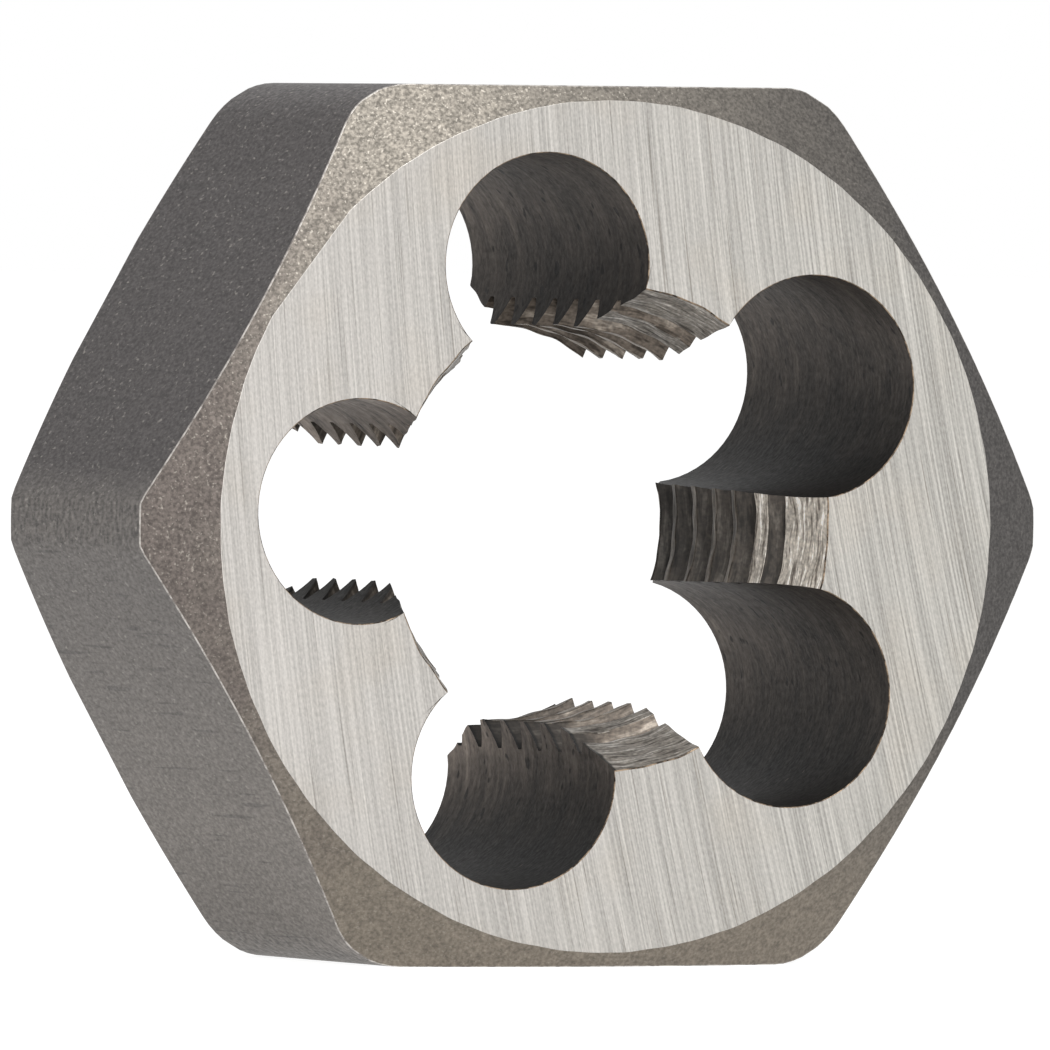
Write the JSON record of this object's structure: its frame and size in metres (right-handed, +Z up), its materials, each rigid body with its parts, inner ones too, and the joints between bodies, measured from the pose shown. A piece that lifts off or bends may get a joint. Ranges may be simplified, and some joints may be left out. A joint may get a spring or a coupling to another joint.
{
  "type": "hexagonal threading die",
  "caption": "Hexagonal steel die with chip flutes around a right-hand internal thread, for cutting or restoring the thread on a rod or bolt.",
  "frame": {"origin": "middle of the thread, on its axis and halfway between the two faces", "axes": "+Y along the thread axis from the front face to the back face, +Z up out of the top flat of the hexagon, +X to the right corner seen from the front"},
  "size_m": [0.0286, 0.0112, 0.0254],
  "materials": {
    "tool_steel": "ground pale grey faces, rough dull chamfers, dark mill finish on the flats and in the flutes"
  },
  "bodies": {
    "root": {"die_body": "tool_steel"}
  },
  "joints": []
}
